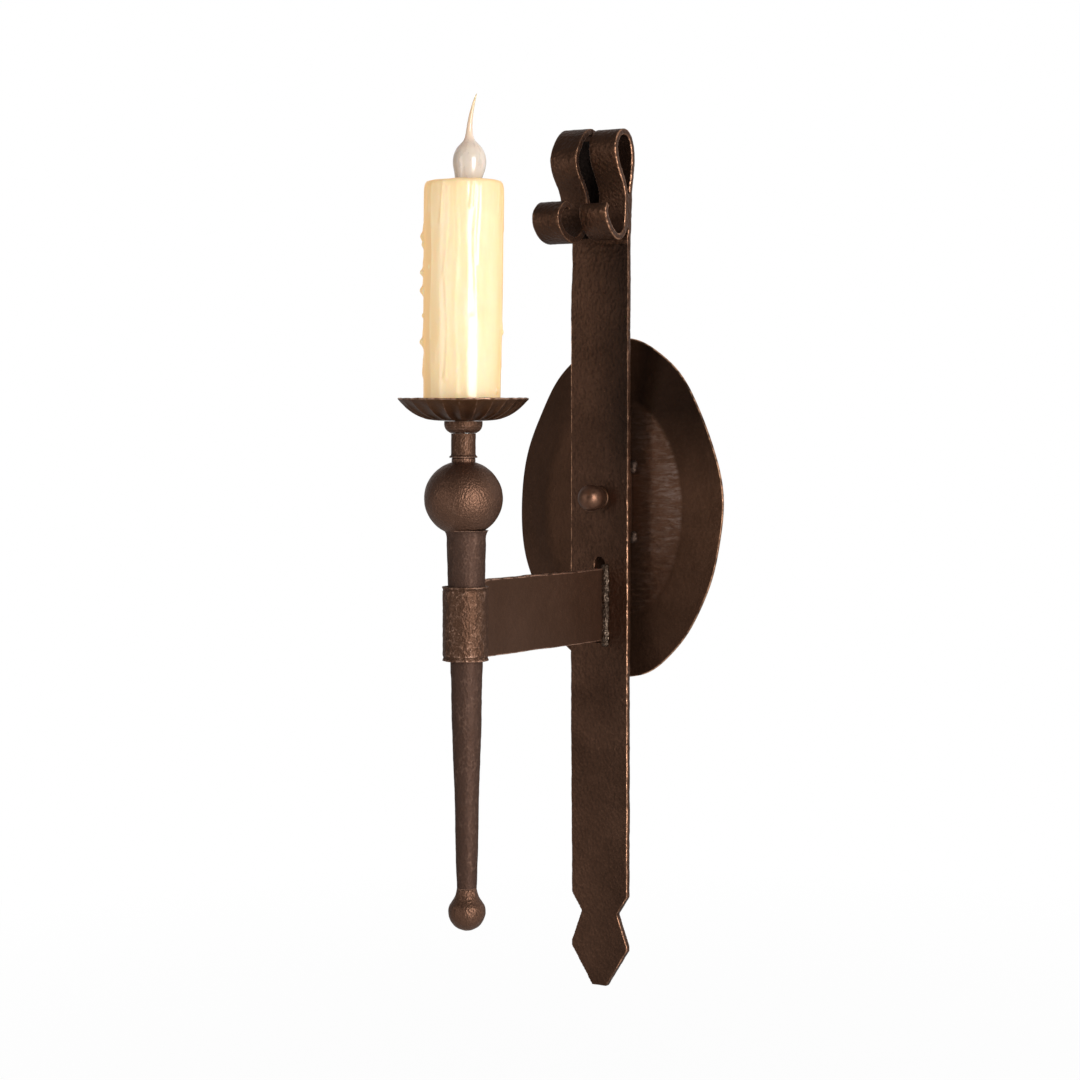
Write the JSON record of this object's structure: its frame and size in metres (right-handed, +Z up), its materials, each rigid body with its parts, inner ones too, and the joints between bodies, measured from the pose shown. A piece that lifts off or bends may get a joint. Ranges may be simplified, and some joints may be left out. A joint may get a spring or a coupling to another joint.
{
  "type": "wall sconce candle holder",
  "caption": "Hand-forged iron wall sconce: scroll-topped back strap on an oval pan, a folded band arm and a tapered torch carrying a wax-sleeved electric candle.",
  "frame": {"origin": "centre of the crossbar's back face, on the wall plane, on the hanging stud's axis", "axes": "+X to the right seen from the room, +Y into the wall, +Z up"},
  "size_m": [0.1142, 0.1626, 0.4166],
  "materials": {
    "forged_iron": "hammered, oil-rubbed bronze paint with copper-rubbed edges",
    "zinc_steel": "zinc plated",
    "brass": "bright",
    "candle_wax": "ivory wax with drips, satin",
    "card_tube": "matt",
    "phenolic": "moulded phenolic",
    "lamp_glass": "clear",
    "lamp_insulator": "vitrified black glass",
    "silicone": "translucent dipped silicone",
    "filament_metal": "tungsten and nickel wire",
    "wire_black": "insulated lead",
    "wire_white": "insulated lead",
    "bare_copper": "bare copper",
    "rubber": "matt"
  },
  "bodies": {
    "sconce": {"back_strap": "forged_iron", "backplate": "forged_iron", "standoff_tube": "forged_iron", "standoff_tack_welds": "forged_iron", "arm_band": "forged_iron", "arm_weld_beads": "forged_iron", "torch_shaft": "forged_iron", "torch_ball": "forged_iron", "finial_ball": "forged_iron", "neck_ferrule": "forged_iron", "candle_cup": "forged_iron", "drip_dish": "forged_iron", "knob_washer": "forged_iron", "threaded_nipple": "zinc_steel", "dish_nut": "zinc_steel", "socket_bracket": "zinc_steel", "crossbar": "zinc_steel", "hanging_stud": "zinc_steel", "stud_lock_nut": "zinc_steel", "ground_screw": "brass", "ground_wire": "bare_copper", "wire_hot": "wire_black", "wire_neutral": "wire_white", "wire_grommet": "rubber", "socket_body": "phenolic", "screw_shell": "brass", "socket_rivet": "brass", "centre_contact": "brass"},
    "candle": {"candle_cover": "candle_wax", "cover_core_tube": "card_tube"},
    "lamp": {"bulb_base": "brass", "bulb_insulator": "lamp_insulator", "bulb_tip_contact": "brass", "bulb_glass": "lamp_glass", "filament_stem": "lamp_glass", "filament": "filament_metal", "silicone_flame": "silicone"},
    "knob": {"ball_knob": "forged_iron"}
  },
  "joints": [
    {"name": "candle_cover_lift", "type": "slide", "parent": "sconce", "child": "candle", "axis": [0, 0, 1], "range_m": [0, 0.145]},
    {"name": "lamp_unscrew", "type": "hinge", "parent": "sconce", "child": "lamp", "pos_m": [0, -0.1336, 0.125], "axis": [0, 0, 1], "range_deg": [0, 1260]},
    {"name": "knob_unscrew", "type": "hinge", "parent": "sconce", "child": "knob", "pos_m": [0, -0.0276, 0], "axis": [0, -1, 0], "range_deg": [0, 3600]}
  ]
}
